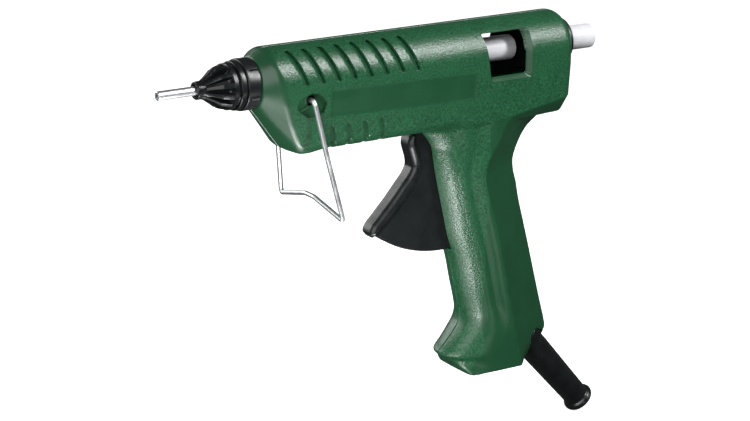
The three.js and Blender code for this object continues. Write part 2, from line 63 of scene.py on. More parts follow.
def addCamera(c):
    a, e, r = (math.radians(c[k]) for k in ("turn", "rise", "roll"))
    back = np.array([-math.sin(a) * math.cos(e), -math.cos(a) * math.cos(e), math.sin(e)])
    side = np.array([math.cos(a), -math.sin(a), 0])
    up = np.cross(back, side)
    right = math.cos(r) * side + math.sin(r) * up
    top = math.cos(r) * up - math.sin(r) * side
    place = row(back * c["away"] - right * c["tipAcross"] - top * c["tipUp"])
    data = bpy.data.cameras.new("camera")
    data.lens = c["lens"]
    data.sensor_width = c["sensor"]
    data.clip_start = c["near"] * mm
    data.clip_end = c["far"] * mm
    view = bpy.data.objects.new("camera", data)
    bpy.context.scene.collection.objects.link(view)
    view.matrix_world = Matrix([[right[i], top[i], back[i], place[i]] for i in range(3)] + [[0, 0, 0, 1]])
    bpy.context.scene.camera = view


addCamera(camera)
print("camera placed")


def curve(at, xs, ys):
    # smooth line through a table, level beyond its ends
    xs, ys = np.asarray(xs, float), np.asarray(ys, float)
    slope = np.gradient(ys, xs)
    i = np.clip(np.searchsorted(xs, at) - 1, 0, len(xs) - 2)
    h = xs[i + 1] - xs[i]
    t = np.clip((at - xs[i]) / h, 0, 1)
    return ((1 + 2 * t) * (1 - t) ** 2 * ys[i] + t * (1 - t) ** 2 * h * slope[i]
            + t * t * (3 - 2 * t) * ys[i + 1] + t * t * (t - 1) * h * slope[i + 1])


def ease(low, high, at):
    t = np.clip((at - low) / (high - low), 0, 1)
    return t * t * (3 - 2 * t)


def both(a, b, r=0.01):
    # inside of a and of b, with the edge between them rounded to radius r
    return np.minimum(np.maximum(a, b), -r) + np.hypot(np.maximum(a + r, 0), np.maximum(b + r, 0))


def either(a, b, r=0.01):
    # a and b joined, with a fillet between them
    h = np.maximum(r - np.abs(a - b), 0) / r
    return np.minimum(a, b) - h * h * r / 4


def outline(x, z, points):
    # signed distance to a closed outline, below zero inside it
    best = np.full(x.shape, 1e9)
    inside = np.zeros(x.shape, bool)
    for (ax, az), (bx, bz) in zip(points, points[1:] + points[:1]):
        ex, ez = bx - ax, bz - az
        t = np.clip(((x - ax) * ex + (z - az) * ez) / (ex * ex + ez * ez + 1e-12), 0, 1)
        best = np.minimum(best, np.hypot(x - ax - t * ex, z - az - t * ez))
        if bz != az:
            inside ^= ((az > z) != (bz > z)) & (x < ax + (z - az) * ex / ez)
    return np.where(inside, -best, best)


def arc(cx, cz, r, start, stop, n):
    turns = np.radians(np.linspace(start, stop, n + 1))
    return [(cx + r * math.cos(a), cz + r * math.sin(a)) for a in turns]


def slopeOf(field, p, d=0.02):
    g = np.stack([field(*(p + d * e).T) - field(*(p - d * e).T) for e in np.eye(3)], 1)
    return g / (np.linalg.norm(g, axis=1, keepdims=True) + 1e-12)


def carve(field, low, high, step):
    # closed quad mesh of the place where field is zero, with its sharp edges kept
    slab = 24  # grid layers worked out at once, to keep memory small
    middling = 0.15  # share of each guess that goes to the middle, so that no end of the search sticks
    soften = 0.03  # holds a vertex near the middle of its crossings where the surface is flat
    axes = [np.arange(l, h + step, step) for l, h in zip(low, high)]
    n = [len(a) for a in axes]
    value = np.empty(n, np.float32)
    for i in range(0, n[0], slab):
        gx, gy, gz = np.meshgrid(axes[0][i:i + slab], axes[1], axes[2], indexing="ij")
        value[i:i + slab] = field(gx.ravel(), gy.ravel(), gz.ravel()).reshape(gx.shape)
    inside = value < 0
    base = np.array([a[0] for a in axes])
    cells = np.array(n) - 1
    # crossings on the grid edges along each axis, moved onto the surface
    edges = []
    for axis in range(3):
        a = [slice(None)] * 3
        b = [slice(None)] * 3
        a[axis], b[axis] = slice(0, -1), slice(1, None)
        where = np.argwhere(inside[tuple(a)] != inside[tuple(b)])
        unit = np.eye(3, dtype=int)[axis]
        p0 = base + where * step
        f0 = value[tuple(where.T)].astype(float)
        f1 = value[tuple((where + unit).T)].astype(float)
        lo, hi, flo, fhi = np.zeros(len(where)), np.ones(len(where)), f0.copy(), f1.copy()
        for _ in range(4):
            t = np.clip(lo + (hi - lo) * flo / (flo - fhi + 1e-30), lo, hi)
            t = (1 - middling) * t + middling * (lo + hi) / 2
            f = field(*(p0 + t[:, None] * unit * step).T)
            same = (f < 0) == (f0 < 0)
            lo, flo = np.where(same, t, lo), np.where(same, f, flo)
            hi, fhi = np.where(same, hi, t), np.where(same, fhi, f)
        t = np.clip(lo + (hi - lo) * flo / (flo - fhi + 1e-30), lo, hi)
        hit = p0 + t[:, None] * unit * step
        edges.append((where, hit, slopeOf(field, hit), f0 < 0))
    # one vertex in each cell that the surface passes through: nearest to all its tangent planes
    total = int(np.prod(cells))
    count = np.zeros(total, np.int32)
    touched = []
    for axis, (where, hit, normal, first) in enumerate(edges):
        u, v = [k for k in range(3) if k != axis]
        for du in (0, -1):
            for dv in (0, -1):
                c = where.copy()
                c[:, u] += du
                c[:, v] += dv
                ok = ((c >= 0) & (c < cells)).all(1)
                cell = np.ravel_multi_index(np.clip(c, 0, cells - 1).T, cells)
                touched.append((np.where(ok, cell, -1), hit, normal))
                np.add.at(count, cell[ok], 1)
    used = np.flatnonzero(count)
    index = np.full(total, -1)
    index[used] = np.arange(len(used))
    mass = np.zeros((len(used), 3))
    for cell, hit, normal in touched:
        ok = cell >= 0
        np.add.at(mass, index[cell[ok]], hit[ok])
    mass /= count[used][:, None]
    ata = np.tile(np.eye(3) * soften, (len(used), 1, 1))
    atb = np.zeros((len(used), 3))
    for cell, hit, normal in touched:
        ok = cell >= 0
        k, nn = index[cell[ok]], normal[ok]
        np.add.at(ata, k, nn[:, :, None] * nn[:, None, :])
        np.add.at(atb, k, nn * ((hit[ok] - mass[k]) * nn).sum(1)[:, None])
    shift = np.linalg.solve(ata, atb[:, :, None])[:, :, 0]
    point = mass + np.clip(shift, -0.9 * step, 0.9 * step)
    corner = base + np.stack(np.unravel_index(used, cells), 1) * step
    point = np.clip(point, corner - 0.1 * step, corner + 1.1 * step)  # no further than a tenth of a cell out
    faces = []
    for axis, (where, hit, normal, first) in enumerate(edges):
        u, v = [(1, 2), (2, 0), (0, 1)][axis]
        ring = []
        good = np.ones(len(where), bool)
        for du, dv in ((0, 0), (-1, 0), (-1, -1), (0, -1)):
            c = where.copy()
            c[:, u] += du
            c[:, v] += dv
            good &= ((c >= 0) & (c < cells)).all(1)
            ring.append(index[np.ravel_multi_index(np.clip(c, 0, cells - 1).T, cells)])
        quad = np.stack(ring, 1)
        quad[~first] = quad[~first][:, ::-1]
        faces.append(quad[good])
    return point, np.concatenate(faces)


def meshPiece(name, points, faces, material, sharp=32, body="housing", stands=()):
    mesh = bpy.data.meshes.new(name)
    mesh.from_pydata(row(points).tolist(), [], [tuple(int(i) for i in f) for f in faces])
    mesh.validate()
    mesh.materials.append(material)
    mesh.shade_smooth()
    mesh.set_sharp_from_angle(angle=math.radians(sharp))
    piece = bpy.data.objects.new(name, mesh)
    bpy.context.scene.collection.objects.link(piece)
    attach(piece, body)
    if stands:
        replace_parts(piece, *stands)
    return piece


def turned(profile, rings=64, relief=None, axisAt=(0, 0, 0), along=(1, 0, 0)):
    # profile of (distance along, radius), closed into itself; relief(x, angle, r) changes the radius
    profile = np.array(profile, float)
    angle = np.arange(rings) * 2 * math.pi / rings
    s = np.repeat(profile[:, 0], rings)
    r = np.repeat(profile[:, 1], rings)
    a = np.tile(angle, len(profile))
    if relief:
        r = relief(s, a, r)
    w = np.array(along, float) / np.linalg.norm(along)
    v = np.array([0.0, 1.0, 0.0]) if abs(w[1]) < 0.5 else np.array([0.0, 0, 1])
    u = np.cross(v, w)
    around = np.outer(r * np.cos(a), u) + np.outer(r * np.sin(a), v)
    points = np.array(axisAt, float) + np.outer(s, w) + around
    faces = []
    for i in range(len(profile)):
        j = (i + 1) % len(profile)
        for k in range(rings):
            m = (k + 1) % rings
            faces.append((i * rings + k, j * rings + k, j * rings + m, i * rings + m))
    return points, faces


def tidyEnds(piece, weld=0.002, sliver=0.001):
    # rings of no radius become one point, and the faces turn outwards
    bm = bmesh.new()
    bm.from_mesh(piece.data)
    bmesh.ops.remove_doubles(bm, verts=bm.verts, dist=weld * mm)
    bmesh.ops.dissolve_degenerate(bm, edges=bm.edges, dist=sliver * mm)
    bmesh.ops.recalc_face_normals(bm, faces=bm.faces)
    bm.to_mesh(piece.data)
    bm.free()
    return piece


def rounded(points, r, n=5):
    # the corners of an open profile are rounded to radius r, or to r[i] at point i
    points = [np.array(p, float) for p in points]
    out = [points[0]]
    for i in range(1, len(points) - 1):
        p, q, s = points[i - 1], points[i], points[i + 1]
        ri = r[i] if hasattr(r, "__len__") else r
        a, b = p - q, s - q
        la, lb = np.linalg.norm(a), np.linalg.norm(b)
        a, b = a / la, b / lb
        half = math.acos(np.clip(a @ b, -1, 1)) / 2
        if ri <= 0 or half > 1.5:  # sharp, or almost straight
            out.append(q)
            continue
        cut = min(ri / math.tan(half), 0.45 * la, 0.45 * lb)  # neighbouring corners never meet
        for t in np.linspace(0, 1, n + 1):
            out.append((1 - t) ** 2 * (q + a * cut) + 2 * t * (1 - t) * q + t * t * (q + b * cut))
    out.append(points[-1])
    return [tuple(p) for p in out]


def linear(code):
    out = []
    for i in (0, 2, 4):
        c = int(code[i:i + 2], 16) / 255
        out.append(c / 12.92 if c <= 0.04045 else ((c + 0.055) / 1.055) ** 2.4)
    return (*out, 1)


def feed(tree, n, **inputs):
    # each input is a value, or a (node, output) pair to link from; i0 is the first socket
    for key, value in inputs.items():
        numbered = key[0] == "i" and key[1:].isdigit()
        socket = n.inputs[int(key[1:]) if numbered else key.replace("_", " ")]
        if isinstance(value, tuple) and isinstance(value[0], bpy.types.Node):
            tree.links.new(value[0].outputs[value[1]], socket)
        else:
            socket.default_value = value
    return n


def node(tree, kind, settings=None, **inputs):
    # adds one node with its settings, values and links
    n = tree.nodes.new(kind)
    for key, value in (settings or {}).items():
        setattr(n, key, value)
    return feed(tree, n, **inputs)


def blank(name):
    material = bpy.data.materials.new(name)
    material.use_nodes = True
    tree = material.node_tree
    tree.nodes.clear()
    coordinates = node(tree, "ShaderNodeTexCoord")
    shader = node(tree, "ShaderNodeBsdfPrincipled")
    node(tree, "ShaderNodeOutputMaterial", Surface=(shader, 0))
    return material, tree, (coordinates, "Object"), shader


def ramp(tree, source, stops):
    r = node(tree, "ShaderNodeValToRGB", Fac=source)
    while len(r.color_ramp.elements) < len(stops):
        r.color_ramp.elements.new(0.5)
    for element, (position, colour) in zip(r.color_ramp.elements, stops):
        element.position = position
        element.color = linear(colour) if isinstance(colour, str) else (colour, colour, colour, 1)
    return r


def perMetre(size):
    return 1 / (size * mm)


def sparkErodedAbs():
    # ABS moulded in a spark-eroded tool: a matt grain breaks the highlight up, and it's smooth where the tool
    # was polished; the real grain is about 0.15 mm wide and is drawn coarser, so that it shows
    # the first two greens are the grain's tops and hollows: painted light and painted shade
    look = dict(grainTopLit="286341", grainHollowShade="123822", smooth="17462B", grainWidth=0.8, fineWidth=0.5, grainDepth=0.3,
                fineShare=0.2, mottle=9, bump=(0.03, 0.6), roughness=(0.3, 0.27), scuff=0.08, ior=1.53)
    material, tree, where, shader = blank("spark-eroded ABS, mid green")
    grain = node(tree, "ShaderNodeAttribute", {"attribute_name": "grain", "attribute_type": "GEOMETRY"})
    coarse = node(tree, "ShaderNodeTexNoise", Vector=where, Scale=perMetre(look["grainWidth"]), Detail=2.0,
                  Roughness=0.6)
    fine = node(tree, "ShaderNodeTexVoronoi", Vector=where, Scale=perMetre(look["fineWidth"]))
    cloud = node(tree, "ShaderNodeTexNoise", Vector=where, Scale=perMetre(look["mottle"]), Detail=3.0)
    height = node(tree, "ShaderNodeMath", {"operation": "MULTIPLY_ADD"}, i0=(fine, "Distance"),
                  i1=look["fineShare"], i2=(coarse, "Fac"))
    # where the grain stands high the green is lighter and where it sinks it is darker, from the same noise as
    # the bump: painted light and shade in the grain
    spread = node(tree, "ShaderNodeMapRange", Value=(coarse, "Fac"), From_Min=0.32, From_Max=0.68)
    tone = node(tree, "ShaderNodeMix", {"data_type": "RGBA"}, i0=(spread, 0), i6=linear(look["grainHollowShade"]),
                i7=linear(look["grainTopLit"]))
    flat = node(tree, "ShaderNodeMix", {"data_type": "RGBA"}, i0=(grain, "Fac"), i6=linear(look["smooth"]),
                i7=(tone, 2))
    drift = node(tree, "ShaderNodeMapRange", Value=(cloud, "Fac"), From_Min=0.3, From_Max=0.7, To_Min=0.94,
                 To_Max=1.06)
    colour = node(tree, "ShaderNodeHueSaturation", Color=(flat, 2), Hue=0.5, Value=(drift, 0))
    strength = node(tree, "ShaderNodeMapRange", Value=(grain, "Fac"), To_Min=look["bump"][0],
                    To_Max=look["bump"][1])
    bump = node(tree, "ShaderNodeBump", Height=(height, 0), Strength=(strength, 0),
                Distance=look["grainDepth"] * mm)
    rough = node(tree, "ShaderNodeMapRange", Value=(grain, "Fac"), To_Min=look["roughness"][0],
                 To_Max=look["roughness"][1])
    scuff = node(tree, "ShaderNodeMath", {"operation": "MULTIPLY_ADD"}, i0=(cloud, "Fac"), i1=look["scuff"],
                 i2=(rough, 0))
    feed(tree, shader, Base_Color=(colour, 0), Normal=(bump, 0), Roughness=(scuff, 0), IOR=look["ior"])
    return material


def blackMoulding(name, colour, width, depth, roughness, coat=0.0, ior=1.5):
    # black engineering plastic or rubber: almost no colour, so its form is read from soft highlights
    material, tree, where, shader = blank(name)
    grain = node(tree, "ShaderNodeTexNoise", Vector=where, Scale=perMetre(width), Detail=3.0, Roughness=0.55)
    cloud = node(tree, "ShaderNodeTexNoise", Vector=where, Scale=perMetre(6), Detail=2.0)
    tone = ramp(tree, (cloud, "Fac"), [(0.3, colour[0]), (0.7, colour[1])])
    rough = node(tree, "ShaderNodeMapRange", Value=(cloud, "Fac"), From_Min=0.3, From_Max=0.7,
                 To_Min=roughness - 0.04, To_Max=roughness + 0.05)
    bump = node(tree, "ShaderNodeBump", Height=(grain, "Fac"), Strength=0.35, Distance=depth * mm)
    feed(tree, shader, Base_Color=(tone, 0), Roughness=(rough, 0), Normal=(bump, 0), IOR=ior,
         Coat_Weight=coat)
    return material


def drawnMetal(name, colour, roughness, stretch, width, depth=0.02):
    # metal with fine marks along or round it from drawing or turning, which smear the reflections
    material, tree, where, shader = blank(name)
    mapped = node(tree, "ShaderNodeMapping", Vector=where, Scale=stretch)
    lines = node(tree, "ShaderNodeTexNoise", Vector=(mapped, 0), Scale=perMetre(width), Detail=4.0,
                 Roughness=0.6)
    cloud = node(tree, "ShaderNodeTexNoise", Vector=where, Scale=perMetre(5), Detail=2.0)
    tone = ramp(tree, (lines, "Fac"), [(0.3, colour[0]), (0.7, colour[1])])
    rough = node(tree, "ShaderNodeMapRange", Value=(cloud, "Fac"), From_Min=0.3, From_Max=0.7,
                 To_Min=roughness - 0.05, To_Max=roughness + 0.07)
    bump = node(tree, "ShaderNodeBump", Height=(lines, "Fac"), Strength=0.3, Distance=depth * mm)
    feed(tree, shader, Base_Color=(tone, 0), Roughness=(rough, 0), Normal=(bump, 0), Metallic=1)
    return material


def hotMeltGlue():
    # EVA hot melt: milky and waxy, light goes a few millimetres in
    material, tree, where, shader = blank("EVA hot-melt glue, milky")
    cloud = node(tree, "ShaderNodeTexNoise", Vector=where, Scale=perMetre(4), Detail=3.0)
    tone = ramp(tree, (cloud, "Fac"), [(0.3, "D3D4D8"), (0.7, "DFE0E3")])
    streak = node(tree, "ShaderNodeTexNoise", Vector=where, Scale=perMetre(1.2), Detail=2.0)
    bump = node(tree, "ShaderNodeBump", Height=(streak, "Fac"), Strength=0.25, Distance=0.05 * mm)
    rough = node(tree, "ShaderNodeMapRange", Value=(cloud, "Fac"), To_Min=0.32, To_Max=0.5)
    feed(tree, shader, Base_Color=(tone, 0), Normal=(bump, 0), Roughness=(rough, 0), IOR=1.48,
         Subsurface_Weight=0.55, Subsurface_Radius=(1.0, 1.0, 1.0), Subsurface_Scale=2.2 * mm)
    return material


def speckled(name, colours, width, roughness, depth=0.05, ior=1.5):
    # fired ceramic, glass-filled plastic or rubber: a fine speckle of two tones
    material, tree, where, shader = blank(name)
    spots = node(tree, "ShaderNodeTexVoronoi", Vector=where, Scale=perMetre(width))
    cloud = node(tree, "ShaderNodeTexNoise", Vector=where, Scale=perMetre(width * 3), Detail=3.0)
    tone = ramp(tree, (cloud, "Fac"), [(0.35, colours[0]), (0.65, colours[1])])
    rough = node(tree, "ShaderNodeMapRange", Value=(cloud, "Fac"), To_Min=roughness - 0.06,
                 To_Max=roughness + 0.06)
    bump = node(tree, "ShaderNodeBump", Height=(spots, "Distance"), Strength=0.3, Distance=depth * mm)
    feed(tree, shader, Base_Color=(tone, 0), Roughness=(rough, 0), Normal=(bump, 0), IOR=ior)
    return material


greenAbs = sparkErodedAbs()
glossNylon = blackMoulding("glass-filled nylon, black, satin", ("0E1112", "141819"), 0.5, 0.05, 0.33)
capSilicone = blackMoulding("silicone rubber, black, moulded", ("0F1213", "161A1B"), 0.4, 0.05, 0.28,
                            ior=1.43)
# black for the inner faces of the shells round the window: painted shade on the inside of the green shell
shellInsideShade = blackMoulding("black painted shade, shell inside", ("15191A", "1D2122"), 0.8, 0.05, 0.42)
bushNylon = blackMoulding("nylon, black, polished mould", ("121415", "181B1C"), 0.5, 0.03, 0.3)
sleevePvc = blackMoulding("soft PVC, black, glossy", ("0C0F10", "131718"), 0.9, 0.12, 0.3, coat=0.15,
                          ior=1.54)
plainSteel = drawnMetal("spring steel wire, bright drawn", ("C8CBCE", "E6E8EA"), 0.42, (1, 1, 0.12), 0.5)
turnedAluminium = drawnMetal("aluminium, turned", ("CDD0D3", "E4E6E8"), 0.4, (1, 0.1, 0.1), 0.35)
castAluminium = drawnMetal("aluminium, die-cast", ("9A9DA0", "B6B8BA"), 0.5, (1, 1, 1), 0.8, 0.06)
blueSteel = drawnMetal("spring steel, oil-tempered", ("6E7175", "8A8D92"), 0.34, (0.2, 1, 1), 0.3)
machineSteel = drawnMetal("steel, ground", ("A2A5A9", "C4C7CA"), 0.28, (1, 0.15, 1), 0.3)
zincSteel = drawnMetal("steel, zinc plated", ("B6BABF", "D2D5DA"), 0.3, (1, 1, 1), 0.6)
brass = drawnMetal("brass strip, rolled", ("B08D4A", "CDB072"), 0.32, (0.1, 1, 1), 0.3)
glue = hotMeltGlue()
finishes = {
    "melt_chamber": castAluminium, "contact_plate_upper": brass, "contact_plate_lower": brass,
    "heater_clamp": blueSteel,
    "ptc_element": speckled("PTC ceramic, fired, dark", ("45413D", "56514B"), 0.4, 0.8),
    "inlet_seal": speckled("silicone rubber, red-brown", ("98402A", "B2503A"), 0.6, 0.6, ior=1.43),
    "seal_retainer": glossNylon, "feed_carriage": glossNylon, "clamp_jaw": machineSteel,
    "jaw_pin": machineSteel, "trigger_pin": machineSteel, "clamp_screw_1": zincSteel,
    "clamp_screw_2": zincSteel,
    "terminal_block": speckled("ceramic terminal block, glazed", ("CFCBC0", "E2DFD6"), 0.5, 0.35),
    "lead_live": speckled("PVC lead, brown", ("5E3F25", "744F31"), 0.6, 0.45, ior=1.53),
    "lead_neutral": speckled("PVC lead, blue", ("24487C", "31588F"), 0.6, 0.45, ior=1.53),
    "cord_clamp": speckled("nylon, black, glass-filled", ("232627", "2F3233"), 0.4, 0.5),
}
for name, material in finishes.items():
    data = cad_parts[name].data
    data.materials.clear()
    data.materials.append(material)
print("materials made")


# the two shells: a barrel whose front is cut by a cone, and a grip
barrel = dict(halfWidth=16, top=14.9, bottom=-30.5, rear=205.2, draftFrom=-8, draft=0.0756, rearR=5.2,
              cornerR=(5, 0.8), cornerTo=(140, 172), chin=(53, 66, 76, 1.0))
slant = dict(at=(201.5, -23.6), rise=0.158, halfWidth=14.6, across=0.82, down=0.57, edgeR=0.25)
nose = dict(front=44.3, rimR=0.5, ring=11, edgeR=1.0, lowEdgeR=0.9, lowEdgeTo=-26,
            angle=[-90, -75, -63, -54, -38, -21, -2, 16, 35, 55, 90],
            slope=[1.32, 1.3, 1.23, 1.07, 0.82, 0.7, 0.69, 0.79, 0.88, 0.78, 0.69])
# height, front edge, widest line, rear edge
gripRows = [
    (-149, 153, 181.5, 191.5), (-144, 148.2, 180.4, 196.8), (-139.6, 143.8, 179.5, 200.9),
    (-136.2, 146.9, 178.6, 202.3), (-132, 150.8, 177.6, 201.6), (-127, 154.4, 176.3, 200.2),
    (-122.5, 155.5, 175.2, 198.9), (-117, 154.3, 173.9, 197.4), (-107, 151.8, 171.6, 194.7),
    (-95, 149, 169, 191.5), (-82, 144.6, 166, 187.9), (-70.4, 141.8, 162.4, 184.7),
    (-62.5, 139.9, 159.8, 183), (-56, 138.3, 158.3, 181.2), (-51, 137.2, 158.6, 181),
    (-47.1, 136.4, 159.9, 182.2), (-43.6, 135.7, 162, 183.8), (-40, 135, 164.3, 185.9),
    (-36.7, 133, 166, 188.7), (-33.2, 130, 167.6, 193.5), (-30, 127.5, 170.2, 198), (-28.3, 126.6, 173, 200),
    (-26, 126, 184, 202)]
# share of the way from the front edge to the widest line, half width there: plain grip, toe, sole
gripProfiles = [
    [(0, 0), (0.012, 2.4), (0.05, 4.9), (0.12, 7.4), (0.22, 9.7), (0.34, 11.4), (0.45, 12.6), (0.54, 12.8),
     (0.64, 12.75), (0.75, 13.3), (0.86, 14.25), (1, 14.6)],
    [(0, 0), (0.01, 2.8), (0.035, 5.4), (0.09, 8), (0.17, 10.3), (0.27, 12), (0.37, 13.2), (0.46, 13.95),
     (0.52, 14.2), (0.68, 14.3), (0.84, 14.45), (1, 14.6)],
    [(0, 0), (0.004, 6.4), (0.008, 9), (0.014, 11), (0.025, 12.3), (0.045, 13.1), (0.07, 13.7), (0.1, 13.95),
     (0.3, 14.1), (0.5, 14.3), (0.75, 14.45), (1, 14.6)]]
profileAt = dict(z=[-149, -142, -131, -117], use=[2, 1, 1, 0])
gripTable = np.array(gripRows)
gripForm = dict(bottom=-149, halfWidth=14.6, rearHalf=4.0, creaseR=0.12, backR=0.8, soleR=0.7, top=-20,
                topR=0.5, reaches=(116, -14))
shell = dict(wall=2.4, split=0.24, seamBevel=0.16, fillet=(3.0, 0.5), filletTo=(150, 172), step=0.72,
             quickStep=1.15)
upperGrooves = dict(count=8, first=58, pitch=8.05, top=13.4, foot=-0.4, lean=5.2, halfWidth=1.45, depth=0.95,
                    unroll=15.3, crownR=14.7, squeeze=0.95, edge=(-0.28, 0.12))
lowerGrooves = dict(count=4, first=76, pitch=8.47, top=-19.2, height=14.8, lean=2.4, halfWidth=1.4,
                    depth=0.95, inner=9, edge=(-0.4, 0.12))
label = dict(corners=[(75, -3.4), (151, -5.6), (151, -17.6), (75, -15.4)], depth=0.22)  # smooth sunk panel
pivot = dict(at=(65.8, -7.1), hole=2.3, floor=14.5,
             rib=((64.4, -9.4), (60.6, -11.2)), ribHigh=0.6, ribEdge=(0.75, 0.35),
             rim=[(58.4, -7.9), (60, -6.2), (62.1, -4.9), (65.5, -3.8), (68.5, -4.4), (71.5, -6.1),
                  (73, -8.9), (71.6, -12.7), (67.6, -14.8), (63.6, -14.2), (59.7, -11.5), (58.4, -9.6)])
window = dict(front=155.4, rear=181, low=-10.8, high=10.6, lean=3.4, square=0.988,
              inset=(0.7, 2.7, 2.0, 0.8), r=0.9)
screws = [(70, -22.5), (112, -23), (196, -20.5), (160, -99), (158, -137)]
clampScrews = [(183.5, -126.9), (175.7, -133.9)]
trigger = dict(pivot=(143.5, -30), r=59.4, plate=2.7, plateR=0.5, rib=5.2, ribR=3.1, blend=0.8, hub=4.6,
               hubHalf=3.1, hubR=0.3, arm=19, armHalf=3.6, armTaper=0.09, armR=0.4, armTip=2.5, bore=2.25,
               lean=10)
triggerSlot = dict(clear=0.6, turn=(246.7, 281), front=119.5, top=-26.5, rear=151, rearLow=-34, half=3.3)
sleeve = dict(at=(198.2, -146.8), along=(0.6665, -0.7455), length=43.5)
# what stands inside the shells: the bosses' radii, then the place, half length and bore of each piece that
# holds the glue path
inside = dict(
    screwBoss=4.5, clampBoss=3.1, saddles=(61, 87), saddleHalf=1, saddleBore=9.6, saddleLow=-12,
    saddleGap=(8.9, -2), rings=((111.45, 2.45, 10.2), (194, 1, 8.9)), ringLow=-13, rails=(2.1, -3.7),
    railHigh=0.8, railAt=139.5, railHalf=15.5, railFrom=9.3, hub=4.6, hubFrom=3.7, skin=1)
cuts = dict(
    noseBore=9.8, noseTo=50, rearBore=8.8, rearFrom=193.2, cord=7.3, cordFrom=-5.2, cordTo=20, flange=8.6,
    flangeAt=-8.6, flangeHalf=3.4, pin=2.25, pinTo=11.4, shank=1.6, shankTo=9.2, head=3.2, headFrom=9,
    blindTo=8.6, windowFrom=6)
insideShadeZone = dict(depth=2, rearOf=146, above=-16)  # where the inner faces of the shells are painted black, as painted shade
smoothFoot = dict(z=[-148, -136.4, -124.5, -120.4, -116], x=[152.7, 160.8, 169.5, 173.9, 190])
away = 50.0  # a distance that no part of the field comes near


def slantField(x, v, z):
    # behind the grip the side ends at a sharp crease, and the underside slants in from there
    s = slant
    crease = s["at"][1] - s["rise"] * (s["at"][0] - x)
    return s["across"] * (v - s["halfWidth"]) - s["down"] * (z - crease)


def barrelField(x, v, z):
    b, n = barrel, nose
    up = np.maximum(z, 0)
    q = np.sqrt((v / b["halfWidth"]) ** 2 + (up / b["top"]) ** 2) + 1e-6
    crown = (q - 1) * q / np.sqrt((v / b["halfWidth"] ** 2) ** 2 + (up / b["top"] ** 2) ** 2 + 1e-6)
    side = v - b["halfWidth"] + b["draft"] * np.maximum(b["draftFrom"] - z, 0)
    x0, x1, x2, drop = b["chin"]
    sag = drop * ease(x0, x1, x) * (1 - ease(x1, x2, x))
    floor = b["bottom"] - sag - z
    corner = b["cornerR"][0] - (b["cornerR"][0] - b["cornerR"][1]) * ease(*b["cornerTo"], x)
    lower = both(both(side, floor, corner), slantField(x, v, z), slant["edgeR"])
    f = both(np.where(z > 0, crown, lower), x - b["rear"], b["rearR"])
    slope = curve(np.degrees(np.arctan2(z, v + 1e-9)), n["angle"], n["slope"])
    cone = (np.hypot(v, z) - n["ring"] - (x - n["front"]) * slope) / np.sqrt(1 + slope ** 2)
    return f, cone


def gripSection(share, use):
    # square of the half width, part of the way from the front edge to the widest line
    total = 0
    for k, points in enumerate(gripProfiles):
        s, h = np.array(points).T
        part = curve(share, s, h * h)
        part = np.where(share < 0, h[1] ** 2 / s[1] * share, part)  # below zero ahead of the front edge
        total = total + part * np.clip(1 - np.abs(use - k), 0, 1)
    return total


def gripField(x, v, z):
    g = gripForm
    front, crease, back = (curve(z, gripTable[:, 0], gripTable[:, k]) for k in (1, 2, 3))
    use = np.interp(z, profileAt["z"], profileAt["use"])
    share = (x - front) / (crease - front)
    wide = gripSection(share, use)
    d = 0.01
    rise = (gripSection(share + d, use) - wide) / d / (crease - front)
    column = (v * v - wide) / np.sqrt(4 * v * v + rise ** 2 + 4)
    run = back - g["backR"] - crease
    fall = g["halfWidth"] - g["rearHalf"]
    wedge = ((x - crease) * fall + (v - g["halfWidth"]) * run) / np.hypot(fall, run)
    f = both(both(column, wedge, g["creaseR"]), x - back, g["backR"])
    return both(f, g["bottom"] - z, g["soleR"])


def outerField(x, y, z):
    g, n = gripForm, nose
    v = np.abs(y)
    body, cone = barrelField(x, v, z)
    f = both(body, cone, n["edgeR"] + n["lowEdgeR"] * ease(0, n["lowEdgeTo"], z))
    near = (x > g["reaches"][0]) & (z < g["reaches"][1])
    if near.any():
        grip = np.full(x.shape, away)
        grip[near] = both(gripField(x[near], v[near], z[near]), z[near] - g["top"], g["topR"])
        r0, r1 = shell["fillet"]
        f = either(f, grip, r0 - (r0 - r1) * ease(*shell["filletTo"], x))
    return both(f, n["front"] - x, n["rimR"])


def grooveOffset(g, x, along):
    # how far behind the middle of the nearest groove of a row, whose grooves lean
    k = (x - g["first"] - g["lean"] * along) / g["pitch"]
    return (k - np.clip(np.round(k), 0, g["count"] - 1)) * g["pitch"]


def grooveField(x, v, z):
    # depth of the grooves at a place, and the distance outside the nearest one
    g, w = upperGrooves, lowerGrooves
    height = np.where(z > 0, g["unroll"] * np.arcsin(np.clip(z / g["crownR"], -1, 1)), z)
    top = g["unroll"] * math.asin(g["top"] / g["crownR"]) - g["halfWidth"]
    foot = g["foot"] + g["halfWidth"]
    along = np.clip((g["top"] - z) / (g["top"] - g["foot"]), -0.2, 1.2)
    dx = grooveOffset(g, x, along) * g["squeeze"]
    dh = np.maximum(np.maximum(height - top, foot - height), 0)
    upper = np.hypot(dx, dh) - g["halfWidth"]
    # each one ramps down to a narrow channel along its rear side
    ramp = 0.3 + 0.7 * ease(-1.1, 0.3, dx) + 0.6 * ease(0.3, 0.6, dx)
    dx = grooveOffset(w, x, (w["top"] - z) / w["height"])
    dh = np.maximum(np.maximum(z - w["top"] + w["halfWidth"], w["inner"] + w["halfWidth"] - v), 0)
    lower = np.hypot(dx, dh) - w["halfWidth"]
    dent = g["depth"] * ramp * (1 - ease(*g["edge"], upper)) + w["depth"] * (1 - ease(*w["edge"], lower))
    return dent, np.minimum(upper, lower)


def labelField(x, z):
    return outline(x, z, label["corners"])


def fanField(x, z):
    return outline(x, z, pivot["rim"])


def fanFloor(x, z):
    # a low rib runs from the hole to the lower front of the rim
    (ax, az), (bx, bz) = pivot["rib"]
    t = np.clip(((x - ax) * (bx - ax) + (z - az) * (bz - az)) / ((bx - ax) ** 2 + (bz - az) ** 2), 0, 1)
    off = np.hypot(x - ax - t * (bx - ax), z - az - t * (bz - az))
    return pivot["floor"] + pivot["ribHigh"] * ease(*pivot["ribEdge"], off)


